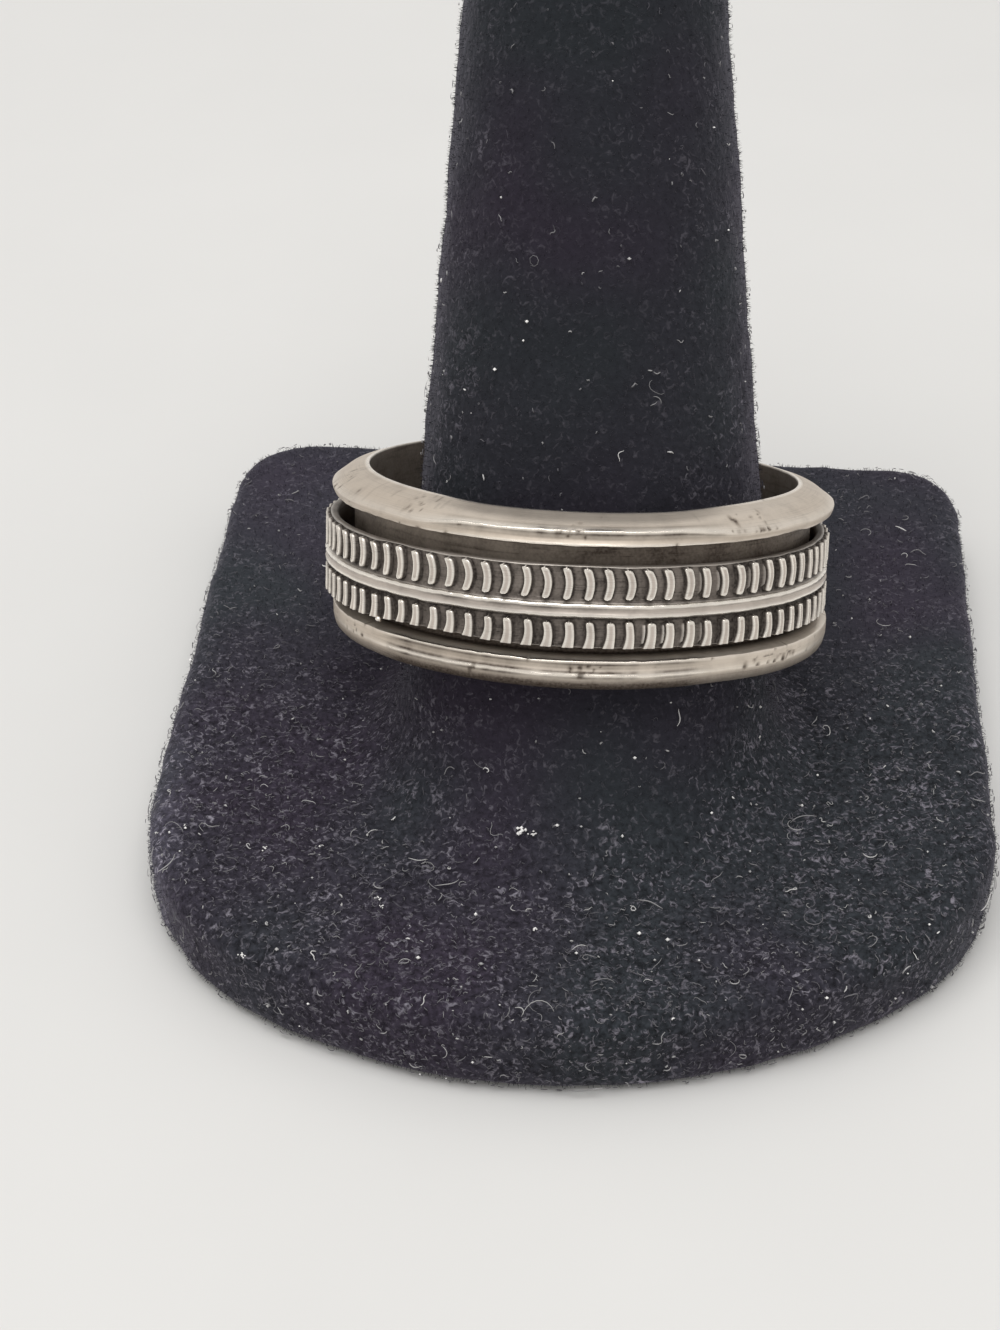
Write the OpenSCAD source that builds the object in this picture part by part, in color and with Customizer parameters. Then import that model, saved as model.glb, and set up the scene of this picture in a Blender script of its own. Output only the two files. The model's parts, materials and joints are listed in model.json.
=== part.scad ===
// A silver spinner ring standing on a plain velvet ring finger stand.
// Millimetres. +Z is up, +Y runs to the stand's flat back, and the origin is the middle of the
// stand's underside. The ring and the finger share one axis, which leans back from the base.

/* [Ring] */
// Inside diameter of the ring, where the wearer's finger goes
bore_d = 20.6; // [16:0.1:24]
// Height of the ring from edge to edge
ring_h = 8; // [7:0.1:12]
// Thickness of the wall behind the spinner
wall_t = 0.7; // [0.5:0.05:1.2]
// How far the rims stand out from the wall
rim_reach = 1; // [0.9:0.05:1.5]
// Height of each rim's narrow outer face
rim_face_h = 0.65; // [0.4:0.05:1]
// Fall of each rim's sloping face, from its crown to the outer ridge
rim_fall = 0.7; // [0.4:0.05:1]
// Depth of the hollow worn between the two ridges of the outer face
rim_hollow = 0.05; // [0:0.01:0.12]
// Fullness of the sloping face over a straight slope
rim_fullness = 0.07; // [0:0.01:0.15]
// Slope of the rims' inner faces, towards the wall
rim_undercut = 0.2; // [0:0.05:0.4]
// Rounding of the edge where the finger goes in
bore_edge_r = 0.35; // [0.1:0.05:0.5]

/* [Spinner band] */
// Radial clearance between the spinner band and the wall
spin_gap = 0.55; // [0.2:0.05:0.6]
// Clearance between the spinner band and each rim
side_gap = 0.8; // [0.3:0.05:1]
// Thickness of the spinner band under its pattern
spin_t = 0.37; // [0.3:0.01:0.6]
// How far the bars and the middle ridge stand up
relief = 0.23; // [0.1:0.01:0.3]
// How far below the middle of the rims the spinner band lies
spin_sag = 0.05; // [0:0.01:0.2]
// Height of the plain ridge between the two rows
ridge_h = 0.65; // [0.3:0.05:1]
// How far the plain ridge lies below the middle of the band
ridge_drop = 0.15; // [0:0.01:0.3]
// Width of the soft edges of the plain ridge
ridge_edge = 0.12; // [0.05:0.01:0.15]
// Plain ground between the ridge and each row
row_gap = 0.2; // [0.1:0.01:0.4]
// Plain ground above the upper row
top_margin = 0.1; // [0.05:0.01:0.3]

/* [Bars] */
// Bars in each row
bar_count = 82; // [50:1:100]
// Width of a bar along the band
bar_w = 0.4; // [0.2:0.01:0.45]
// How far the middle of a bar bows out to the right
bar_bow = 0.18; // [0:0.01:0.25]

/* [Stand] */
// Width of the base
base_w = 40.6; // [38:0.2:48]
// Depth of the base, from its curved front to its flat back
base_d = 45.6; // [42:0.2:60]
// Thickness of the base
base_t = 4.5; // [3:0.1:8]
// Rounding of the base's edges
base_edge = 1.1; // [0.5:0.1:1.4]
// Corner radius at the flat back
back_r = 4; // [2:0.1:6]
// Radius of the curved front
front_r = 26; // [25:0.5:45]
// Corner radius where the curved front meets the sides
front_corner_r = 12; // [4:0.5:14]
// Lean of the finger and the ring, back from upright
lean = 23.5; // [0:0.5:30]
// How far the ring's middle lies behind the middle of the base
ring_back = 1.5; // [-3:0.1:4]
// Clearance between the ring's lowest edge and the velvet
seat_gap = 0.2; // [0.1:0.05:0.5]
// Radial clearance between the ring's bore and the finger, halfway up the ring
finger_gap = 1.7; // [1:0.1:4]
// Taper of the finger, each side
finger_taper = 5.1; // [2:0.1:7]
// Length of the finger above the middle of the ring
finger_len = 41; // [30:0.5:60]
// Length of the finger's rounded tip
tip_len = 4.6; // [3:0.1:6]

/* [Hidden] */
silver = [0.73, 0.69, 0.63];
worn_silver = [0.66, 0.61, 0.55];
velvet = [0.16, 0.165, 0.19];
velvet_finger = [0.13, 0.135, 0.16];

bore_r = bore_d / 2;
wall_r = bore_r + wall_t;
rim_r = wall_r + rim_reach;
ridge_z = ring_h / 2 - rim_fall;
channel_half = ridge_z - rim_face_h;

spin_in_r = wall_r + spin_gap;
ground_r = spin_in_r + spin_t;
relief_r = ground_r + relief;
spin_half = channel_half - side_gap;
ridge_top = ridge_h / 2 - ridge_drop;
ridge_low = ridge_top - ridge_h;
root = spin_t / 2;

arc_steps = 5;
outline_steps = 10;
edge_steps = 3;
smooth = 96;

// Points of a circular arc, from one angle to another.
function arc(centre, r, from, to, steps) =
    [for (i = [0:steps]) let (a = from + (to - from) * i / steps) centre + r * [cos(a), sin(a)]];

// The same points mirrored below the axis, in the opposite order.
function mirrored(points) =
    [for (i = [len(points) - 1:-1:0]) [points[i][0], -points[i][1]]];

// Upper half of the ring's section, as radius and height: round bore edge, sloping face,
// outer face with its hollow, and the undercut inner face down to the wall.
rim_section = concat(
    arc([bore_r + bore_edge_r, ring_h / 2 - bore_edge_r], bore_edge_r, 180, 90, arc_steps),
    [[(bore_r + bore_edge_r + rim_r) / 2, ring_h / 2 - rim_fall / 2 + rim_fullness],
     [rim_r, ridge_z],
     [rim_r - rim_hollow, ridge_z - rim_face_h / 2],
     [rim_r, channel_half],
     [wall_r, channel_half - rim_undercut]]);

// Section of the spinner band: a plain strip with the middle ridge standing on it.
band_section = [
    [spin_in_r, -spin_half],
    [ground_r, -spin_half],
    [ground_r, ridge_low - ridge_edge / 2],
    [relief_r, ridge_low + ridge_edge],
    [relief_r, ridge_top - ridge_edge],
    [ground_r, ridge_top + ridge_edge / 2],
    [ground_r, spin_half],
    [spin_in_r, spin_half]];

// Outline of one bar as seen from outside, from low to high: sides that bow to the right
// and a round head. The foot is round too, or flat where the row runs out at the band's edge.
function bar_side(low, high, side) =
    [for (i = [0:arc_steps - 1])
        let (t = i / (arc_steps - 1), z = low + (high - low) * t)
        [bar_bow * (1 - (2 * t - 1) * (2 * t - 1)) + side * bar_w / 2, z]];
function bar_outline(low, high, round_foot) =
    let (half = bar_w / 2,
         foot = round_foot ? low + half : low,
         head = arc([0, high - half], half, 0, 180, arc_steps),
         heel = round_foot ? arc([0, low + half], half, 180, 360, arc_steps) : [],
         right = bar_side(foot, high - half, 1),
         left = bar_side(foot, high - half, -1))
    concat([for (i = [1:arc_steps - 2]) right[i]], head,
           [for (i = [arc_steps - 2:-1:1]) left[i]],
           round_foot ? heel : [left[0], right[0]]);

// Outline of the base, from its right side round the front: curved front, front corners and
// back corners, pulled in by inset. The front corners touch the front's curve from inside.
function base_outline(inset) =
    let (half_w = base_w / 2 - inset,
         half_d = base_d / 2 - inset,
         r_front = front_r - inset,
         r_corner = front_corner_r - inset,
         r_back = back_r - inset,
         front_y = front_r - base_d / 2,
         corner_x = half_w - r_corner,
         reach = r_front - r_corner,
         corner_y = front_y - sqrt(reach * reach - corner_x * corner_x),
         turn = asin(corner_x / reach),
         step = 2 * turn / outline_steps)
    concat(
        arc([-corner_x, corner_y], r_corner, 180, 270 - turn, outline_steps),
        arc([0, front_y], r_front, 270 - turn + step, 270 + turn - step, outline_steps - 2),
        arc([corner_x, corner_y], r_corner, 270 + turn, 360, outline_steps),
        arc([half_w - r_back, half_d - r_back], r_back, 0, 90, arc_steps),
        arc([-half_w + r_back, half_d - r_back], r_back, 90, 180, arc_steps));

// Height of the ring's middle above the velvet, with its lowest edge just clear of it.
ring_lift = seat_gap + max([for (p = rim_section) p[0] * sin(lean) + p[1] * cos(lean)]);

// Radius of the finger at a height along the ring's axis, counted from the ring's middle.
finger_r0 = bore_r - finger_gap;
function finger_r(s) = finger_r0 - s * tan(finger_taper);

// Section of the finger from below the velvet to the rounded tip.
foot_s = -(ring_lift + (finger_r0 + base_t) * sin(lean)) / cos(lean) - base_t;
shoulder_s = finger_len - tip_len;
shoulder_r = finger_r(shoulder_s);
finger_section = concat(
    [[0, foot_s], [finger_r(foot_s), foot_s]],
    [for (i = [0:arc_steps]) let (a = 90 * i / arc_steps)
        [shoulder_r * cos(a), shoulder_s + tip_len * sin(a)]]);

// Puts what is drawn round the Z axis on the ring's leaning axis, at the ring's middle.
module on_ring_axis() {
    translate([0, ring_back, base_t + ring_lift])
        rotate([-lean, 0, 0])
            children();
}

// One raised bar, standing on the band at the front and rooted in its thickness.
module bar(low, high, round_foot) {
    translate([0, root - ground_r, 0])
        rotate([90, 0, 0])
            linear_extrude(height = root + relief)
                polygon(bar_outline(low, high, round_foot));
}

module bar_row(low, high, round_foot) {
    for (i = [0:bar_count - 1])
        rotate([0, 0, i * 360 / bar_count])
            bar(low, high, round_foot);
}

module ring_band() {
    color(silver)
        on_ring_axis()
            rotate_extrude($fn = smooth)
                polygon(concat(rim_section, mirrored(rim_section)));
}

module spinner_band() {
    color(worn_silver)
        on_ring_axis()
            translate([0, 0, -spin_sag]) {
                rotate_extrude($fn = smooth)
                    polygon(band_section);
                bar_row(ridge_top + row_gap, spin_half - top_margin, true);
                bar_row(-spin_half, ridge_low - row_gap, false);
            }
}

module stand_base() {
    color(velvet)
        hull()
            for (i = [0:edge_steps]) {
                a = 90 * i / edge_steps;
                inset = base_edge * (1 - sin(a));
                cut = base_edge * (1 - cos(a));
                translate([0, 0, cut])
                    linear_extrude(height = base_t - 2 * cut)
                        polygon(base_outline(inset));
            }
}

module stand_finger() {
    big = base_w + base_d;
    color(velvet_finger)
        difference() {
            on_ring_axis()
                rotate_extrude($fn = smooth)
                    polygon(finger_section);
            translate([-big, -big, base_t - 2 * big])
                cube(2 * big);
        }
}

ring_band();
spinner_band();
stand_base();
stand_finger();
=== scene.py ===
import json
import math

import bpy
import numpy as np
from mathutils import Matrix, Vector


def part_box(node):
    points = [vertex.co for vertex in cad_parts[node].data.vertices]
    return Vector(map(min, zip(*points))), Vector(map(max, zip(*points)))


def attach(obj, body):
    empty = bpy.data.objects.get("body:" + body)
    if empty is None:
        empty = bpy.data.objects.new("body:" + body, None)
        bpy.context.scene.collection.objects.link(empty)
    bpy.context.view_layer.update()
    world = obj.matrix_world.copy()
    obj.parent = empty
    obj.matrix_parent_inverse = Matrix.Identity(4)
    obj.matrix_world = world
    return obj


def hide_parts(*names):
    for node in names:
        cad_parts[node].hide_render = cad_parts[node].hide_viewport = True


# Silver spinner ring on a plain velvet ring stand.
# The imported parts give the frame; every surface that shows is worked out here in numpy.

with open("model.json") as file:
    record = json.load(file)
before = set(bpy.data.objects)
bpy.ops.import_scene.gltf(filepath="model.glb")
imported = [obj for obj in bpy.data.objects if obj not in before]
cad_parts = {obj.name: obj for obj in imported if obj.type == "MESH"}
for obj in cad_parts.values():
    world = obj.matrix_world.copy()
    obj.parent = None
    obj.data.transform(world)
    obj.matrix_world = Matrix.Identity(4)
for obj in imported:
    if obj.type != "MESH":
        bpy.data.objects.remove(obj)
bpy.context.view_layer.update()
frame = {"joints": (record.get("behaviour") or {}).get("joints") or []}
mm = 0.001

joint = frame["joints"][0]
ringMiddle = np.array(joint["pos_m"]) / mm          # middle of the ring, in mm
ringAxis = np.array(joint["axis"])
lean = math.atan2(ringAxis[1], ringAxis[2])         # how far the ring and finger lean back
baseLow, baseHigh = [np.array(c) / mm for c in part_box("stand_base")]
bandLow, bandHigh = [np.array(c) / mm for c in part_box("ring_band")]
spinLow, spinHigh = [np.array(c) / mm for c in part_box("spinner_band")]
rimR = (bandHigh[0] - bandLow[0]) / 2               # radius over the rims
reliefR = (spinHigh[0] - spinLow[0]) / 2            # radius over the raised bars
baseTop = baseHigh[2]


# Turns an sRGB hex colour into the linear colour that the sockets take.
def toLinear(hexColour):
    parts = [int(hexColour[i:i + 2], 16) / 255 for i in (1, 3, 5)]
    return tuple(c / 12.92 if c <= 0.04045 else ((c + 0.055) / 1.055) ** 2.4 for c in parts) + (1.0,)


# Adds one node, sets its properties and inputs, and links what is given as a socket.
def addNode(tree, kind, inputs=None, **settings):
    node = tree.nodes.new(kind)
    for name, value in settings.items():
        setattr(node, name, value)
    for name, value in (inputs or {}).items():
        if isinstance(value, bpy.types.NodeSocket):
            tree.links.new(value, node.inputs[name])
        else:
            node.inputs[name].default_value = value
    return node


# An empty material that uses nodes.
def newMaterial(name):
    material = bpy.data.materials.new(name)
    material.use_nodes = True
    material.node_tree.nodes.clear()
    return material, material.node_tree


# The last two nodes of a material: its shader with these inputs, and the output.
def endMaterial(material, inputs):
    shader = addNode(material.node_tree, "ShaderNodeBsdfPrincipled", inputs)
    addNode(material.node_tree, "ShaderNodeOutputMaterial", dict(Surface=shader.outputs["BSDF"]))
    return material


# Short forms of the nodes that repeat. Each gives its node's output.
def meshField(tree, name):
    return addNode(tree, "ShaderNodeAttribute", attribute_name=name).outputs["Fac"]


def objectPlace(tree):
    return addNode(tree, "ShaderNodeTexCoord").outputs["Object"]


def noise(tree, where, scale, detail, **more):
    inputs = dict(Vector=where, Scale=scale, Detail=detail, **more)
    return addNode(tree, "ShaderNodeTexNoise", inputs).outputs["Fac"]


def stretched(tree, where, scale, rotation=(0, 0, 0)):
    inputs = dict(Vector=where, Rotation=rotation, Scale=scale)
    return addNode(tree, "ShaderNodeMapping", inputs).outputs["Vector"]


# Takes a value from one range to another and stops at its ends.
def remap(tree, value, low=0.0, high=1.0, toLow=0.0, toHigh=1.0):
    inputs = {"Value": value, "From Min": low, "From Max": high, "To Min": toLow, "To Max": toHigh}
    return addNode(tree, "ShaderNodeMapRange", inputs).outputs["Result"]


def combine(tree, operation, *values, clamp=False):
    inputs = dict(enumerate(values))
    return addNode(tree, "ShaderNodeMath", inputs, operation=operation, use_clamp=clamp).outputs[0]


def mixColour(tree, share, first, second, blend="MIX"):
    inputs = dict(Fac=share, Color1=first, Color2=second)
    return addNode(tree, "ShaderNodeMixRGB", inputs, blend_type=blend).outputs["Color"]


def bumpNormal(tree, height, depth):
    inputs = dict(Height=height, Strength=1.0, Distance=depth * mm)
    return addNode(tree, "ShaderNodeBump", inputs).outputs["Normal"]


# Smooth step from 0 to 1: 3x^2 - 2x^3.
def smoothStep(x):
    x = np.clip(x, 0, 1)
    return x * x * (3 - 2 * x)


# Bell curve of a distance: 1 in the middle and 1/e at the width.
def bell(away, width):
    return np.exp(-(away / width) ** 2)


# Vectors divided by their lengths.
def unit(vectors):
    return vectors / np.maximum(np.linalg.norm(vectors, axis=-1, keepdims=True), 1e-9)


# Smooth random field on a grid of angle (u, closed) and height (v, open), from -1 to 1:
# random values on a coarse lattice, blended with a smooth cubic step.
def softField(u, v, cellsU, cellsV, seed):
    lattice = np.random.default_rng(seed).uniform(-1, 1, (cellsU, cellsV + 2))
    x = (u % 1.0) * cellsU
    y = np.clip(v, 0, 0.99999) * cellsV
    i, j = np.floor(x).astype(int), np.floor(y).astype(int)
    fx, fy = smoothStep(x - i), smoothStep(y - j)
    i, k = i % cellsU, (i + 1) % cellsU
    low = lattice[i, j] * (1 - fx) + lattice[k, j] * fx
    high = lattice[i, j + 1] * (1 - fx) + lattice[k, j + 1] * fx
    return low * (1 - fy) + high * fy


# Lumps in space: a sum of sine waves of about one wavelength in random directions.
def ripples(points, wavelength, waves, seed):
    rng = np.random.default_rng(seed)
    total = np.zeros(points.shape[:-1])
    for _ in range(waves):
        direction = rng.normal(size=3)
        direction /= np.linalg.norm(direction)
        turn = 2 * math.pi / (wavelength * rng.uniform(0.7, 1.5))
        total += np.sin(points @ direction * turn + rng.uniform(0, 2 * math.pi))
    return total / math.sqrt(waves)


# Normals of a grid that closes along u: cross product of its differences along u and v.
def gridNormals(grid):
    alongU = np.roll(grid, -1, 0) - np.roll(grid, 1, 0)
    return unit(np.cross(alongU, np.gradient(grid, axis=1)))


# Angles of even steps round a circle, as a column.
def roundSteps(count):
    return np.linspace(0, 2 * math.pi, count, endpoint=False)[:, None]


# Place at a radius, an angle counted from the front, and a height.
def atAngle(r, turn, z):
    return np.stack([r * np.sin(turn), -r * np.cos(turn), z], -1)


# Local points round the ring's upright axis, moved to the leaning axis at the ring's middle.
def onRingAxis(points):
    x, y, z = np.moveaxis(points, -1, 0)
    c, s = math.cos(lean), math.sin(lean)
    return np.stack([x, y * c + z * s, z * c - y * s], -1) + ringMiddle


# Makes a mesh object from triangles and quads given as arrays of vertex numbers, in mm.
def meshObject(name, points, faces, fields=None, smooth=True):
    mesh = bpy.data.meshes.new(name)
    counts = np.concatenate([np.full(len(f), f.shape[1]) for f in faces])
    corners = np.concatenate([f.ravel() for f in faces]).astype(np.int32)
    mesh.vertices.add(len(points))
    mesh.vertices.foreach_set("co", (points * mm).astype(np.float32).ravel())
    mesh.loops.add(len(corners))
    mesh.loops.foreach_set("vertex_index", corners)
    mesh.polygons.add(len(counts))
    mesh.polygons.foreach_set("loop_start", (np.cumsum(counts) - counts).astype(np.int32))
    mesh.polygons.foreach_set("use_smooth", np.full(len(counts), smooth))
    for field, values in (fields or {}).items():
        layer = mesh.attributes.new(field, "FLOAT", "POINT")
        layer.data.foreach_set("value", values.astype(np.float32).ravel())
    mesh.update(calc_edges=True)
    mesh.validate()
    piece = bpy.data.objects.new(name, mesh)
    bpy.context.scene.collection.objects.link(piece)
    return piece


# A surface from a grid of points that closes along u; along v it closes too, or ends in
# two poles where the first and last rows have shrunk to a point.
def surfacePiece(name, grid, fields, closedV=True, mapSize=None):
    nu, nv = grid.shape[:2]
    points = grid.reshape(-1, 3)
    number = np.arange(nu * nv).reshape(nu, nv)
    if closedV:
        number = np.concatenate([number, number[:, :1]], 1)
    after = np.roll(number, -1, 0)
    quads = np.stack([number[:, :-1], after[:, :-1], after[:, 1:], number[:, 1:]], -1)
    faces = [quads.reshape(-1, 4)]
    if not closedV:
        points = np.concatenate([points, np.stack([grid[:, 0].mean(0), grid[:, -1].mean(0)])])
        faces.append(np.stack([np.full(nu, nu * nv), after[:, 0], number[:, 0]], -1))
        faces.append(np.stack([np.full(nu, nu * nv + 1), number[:, -1], after[:, -1]], -1))
        fields = {k: np.concatenate([f.ravel(), [f[0, 0], f[0, -1]]]) for k, f in fields.items()}
    piece = meshObject(name, points, faces, fields)
    if mapSize is not None:
        addMap(piece, nu, nv, mapSize)
    return piece


# The piece's own map, in mm: along the band for u and round the section for v.
def addMap(piece, nu, nv, mapSize):
    i, j = [k.ravel() for k in np.meshgrid(np.arange(nu), np.arange(nv), indexing="ij")]
    uv = np.stack([np.stack([i + a, j + b], -1) for a, b in ((0, 0), (1, 0), (1, 1), (0, 1))], 1)
    uv = uv * np.array([mapSize[0] / nu, mapSize[1] / nv])
    layer = piece.data.uv_layers.new(name="bandMap")
    layer.data.foreach_set("uv", uv.astype(np.float32).ravel())


# A closed section with rounded corners: each corner (r, z, rounding) becomes a parabola that
# touches both its sides, and each side gets its own number of points between the corners.
def roundedSection(corners, arcPoints, between):
    c = np.array([k[:2] for k in corners], float)
    rounding = np.array([k[2] for k in corners])
    into, out = unit(c - np.roll(c, 1, 0)), unit(np.roll(c, -1, 0) - c)
    turn = np.arccos(np.clip((into * out).sum(1), -1, 1))
    cut = rounding * np.tan(turn / 2)
    t = np.linspace(0, 1, arcPoints)[None, :, None]
    start = (c - into * cut[:, None])[:, None]
    end = (c + out * cut[:, None])[:, None]
    arcs = (1 - t) ** 2 * start + 2 * t * (1 - t) * c[:, None] + t ** 2 * end
    rows = []
    for arc, following, points in zip(arcs, np.roll(arcs, -1, 0), between):
        rows.append(arc)
        if points:
            f = np.linspace(0, 1, points + 2)[1:-1, None]
            rows.append(arc[-1] * (1 - f) + following[0] * f)
    return np.concatenate(rows)


# Angle from one direction round the ring to another, the short way.
def angleFrom(turn, degrees):
    return np.angle(np.exp(1j * (turn - math.radians(degrees))))


# Share of a full effect round the ring: 1 near the middle angle, fading smoothly to 0.
def roundRing(turn, middle, full, fade):
    away = np.degrees(np.abs(angleFrom(turn, middle)))
    return 1 - smoothStep((away - full) / fade)


# The same, times a strength.
def patchRound(turn, strength, middle, full, fade):
    return strength * roundRing(turn, middle, full, fade)


# Core of the ring: thin wall and two rims. Corners are radius, height and rounding in mm,
# from the bore to the wall. Wear has left two ridges with a hollow between them at the
# front and back, and one even slope at the sides. The lower rim has the fuller shoulder.
ring = dict(
    upperFront=[(10.3, 3.9, 0.10), (11.42, 3.66, 1.6), (12.0, 3.3, 0.06), (11.87, 2.98, 0.25),
                (12.0, 2.65, 0.05), (11.0, 2.45, 0.12)],
    upperSide=[(10.3, 4.0, 0.10), (11.3, 3.68, 1.6), (12.10, 3.05, 0.10), (12.06, 2.87, 0.15),
               (11.97, 2.65, 0.05), (11.0, 2.45, 0.12)],
    lowerFront=[(10.3, 4.0, 0.3), (11.80, 4.04, 0.45), (12.0, 3.3, 0.07), (11.88, 2.98, 0.25),
                (12.0, 2.65, 0.05), (11.0, 2.45, 0.12)],
    lowerSide=[(10.3, 4.0, 0.3), (11.84, 4.0, 0.6), (11.98, 3.3, 0.4), (12.0, 2.98, 0.3),
               (12.0, 2.65, 0.06), (11.0, 2.45, 0.12)],
    between=[3, 3, 1, 1, 1, 6, 1, 1, 1, 3, 3, 7], arcPoints=7, around=780,
    # where the wear is full and where it fades: middle, full, fade in degrees
    upperWear=(0, 22, 18), lowerWear=(-9, 30, 13), backWear=(180, 30, 22),
    ridgeZ=3.3, ridgeWide=0.10, lipZ=2.65, lipWide=0.08, waver=0.03, swell=0.007,
    # radii that part the section's areas, from the bore outwards
    boreEndR=10.36, slopeR=10.5, edgeR=10.52, wallEndR=11.25, linesR=11.5, lowFaceR=11.7,
    ridgeR=11.8,
    # and heights over and under the middle that part them
    outsideZ=2.5, lowFaceZ=2.6, slopeZ=3.0, shoulderZ=3.38, shoulderOver=0.36, edgeZ=3.8, boreEndZ=3.87,
    # tarnish above and below the band, on the wall and on the rims' inner faces, and in the bore;
    # the wall below the band is also painted shade under the spinner, and the lower inner face is kept
    # almost bare as painted light where the spinner shades it
    wallTarnishAndShade=(0.84, 1.0), faceTarnishAndLight=(0.9, 0.05), boreTone=0.62, wallPale=(0.22, -32, 14, 26),
    # darker patches on the upper slope, and lighter patches on it and on the lower face: strength and
    # angles
    slopeDarker=[(0.04, 62, 22, 25), (0.07, -55, 25, 30)],
    slopeLighter=(0.2, 12, 36, 25), lowFaceLighter=(0.16, 32, 36, 20),
    # dark lines painted as shade along the worn front, beside the ridges: height, width, strength
    lines=[(3.16, 0.07, 0.80), (3.0, 0.14, 0.42), (3.46, 0.05, 0.5), (-2.81, 0.06, 0.90),
           (-2.98, 0.10, 0.42), (-3.17, 0.07, 1.1), (-3.42, 0.06, 0.8)],
    # the upper rim is a little bent: angle from the front in degrees, and rise in mm
    bentAt=(-180, -125, -90, -54, -20, 20, 57, 90, 125, 150, 180),
    bent=(-0.2, 0.0, 0.12, 0.10, -0.02, -0.08, -0.10, -0.32, -0.52, -0.45, -0.2),
    # and so is the lower rim
    lowBentAt=(-180, -120, -85, -60, -30, 0, 30, 60, 90, 130, 180),
    lowBent=(0, 0.05, 0.12, 0.15, 0.12, 0, 0.02, -0.13, -0.18, -0.08, 0),
    # groups of dents at given places: angle from the front in degrees, and height
    clusters=[(45, 3.3), (-39, 3.6), (47, -3.1), (53, -3.2), (38, 3.5), (-60, -3.2), (3, -3.1)],
    groups=13, groupSize=12, groupSpread=0.5, singles=110,
    dentSize=(0.035, 0.11), dentDepth=(0.006, 0.03),
    # scratches across the upper slope: angle from the front, from radius to radius, strength
    scratches=[(-57, 10.6, 11.9, 0.22), (-49, 10.9, 11.5, 0.25), (-37.5, 10.5, 10.9, 0.3),
               (-35.5, 10.6, 11.2, 0.45), (-34, 11.2, 11.6, 0.25), (-32.6, 10.7, 11.5, 0.25),
               (28, 10.9, 11.5, 0.2)],
    scratchWide=0.06, seed=11)


# Depth of the dents in the ring's outer faces: some lie in groups round a leader, others
# alone. Each is a bell in the distance round the ring and along the section.
def ringDents(p, front, along, turn, outside):
    rng = np.random.default_rng(p["seed"] + 3)
    press = np.zeros((len(turn), len(front)))
    outer = np.flatnonzero(outside)
    grouped = p["groups"] * p["groupSize"]
    total = grouped + p["singles"]
    spots = rng.choice(outer, total)
    angles = rng.uniform(0, 2 * math.pi, total)
    number = np.arange(total)
    inGroup = number < grouped
    leader = np.where(inGroup, number // p["groupSize"] * p["groupSize"], number)
    for g, (degrees, level) in enumerate(p["clusters"]):
        angles[g * p["groupSize"]] = math.radians(degrees)
        spots[g * p["groupSize"]] = outer[np.argmin(np.abs(front[outer, 1] - level))]
    angles = angles[leader] + inGroup * rng.normal(0, p["groupSpread"] / rimR, total)
    aside = np.round(inGroup * rng.normal(0, 4, total)).astype(int)
    nearby = np.searchsorted(outer, spots[leader]) + aside
    spots = np.where(inGroup, outer[np.clip(nearby, 0, len(outer) - 1)], spots)
    for k, a in zip(spots, np.degrees(angles)):
        size, depth = rng.uniform(*p["dentSize"]), rng.uniform(*p["dentDepth"])
        across = np.abs(angleFrom(turn[:, 0], a)) * rimR
        near = across < size * 3
        down = np.abs(along - along[k])
        down = np.minimum(down, along[-1] - down)[None] * rng.uniform(0.5, 1.6)
        press[near] += depth * np.exp(-(across[near, None] ** 2 + down ** 2) / size ** 2)
    return press


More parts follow.
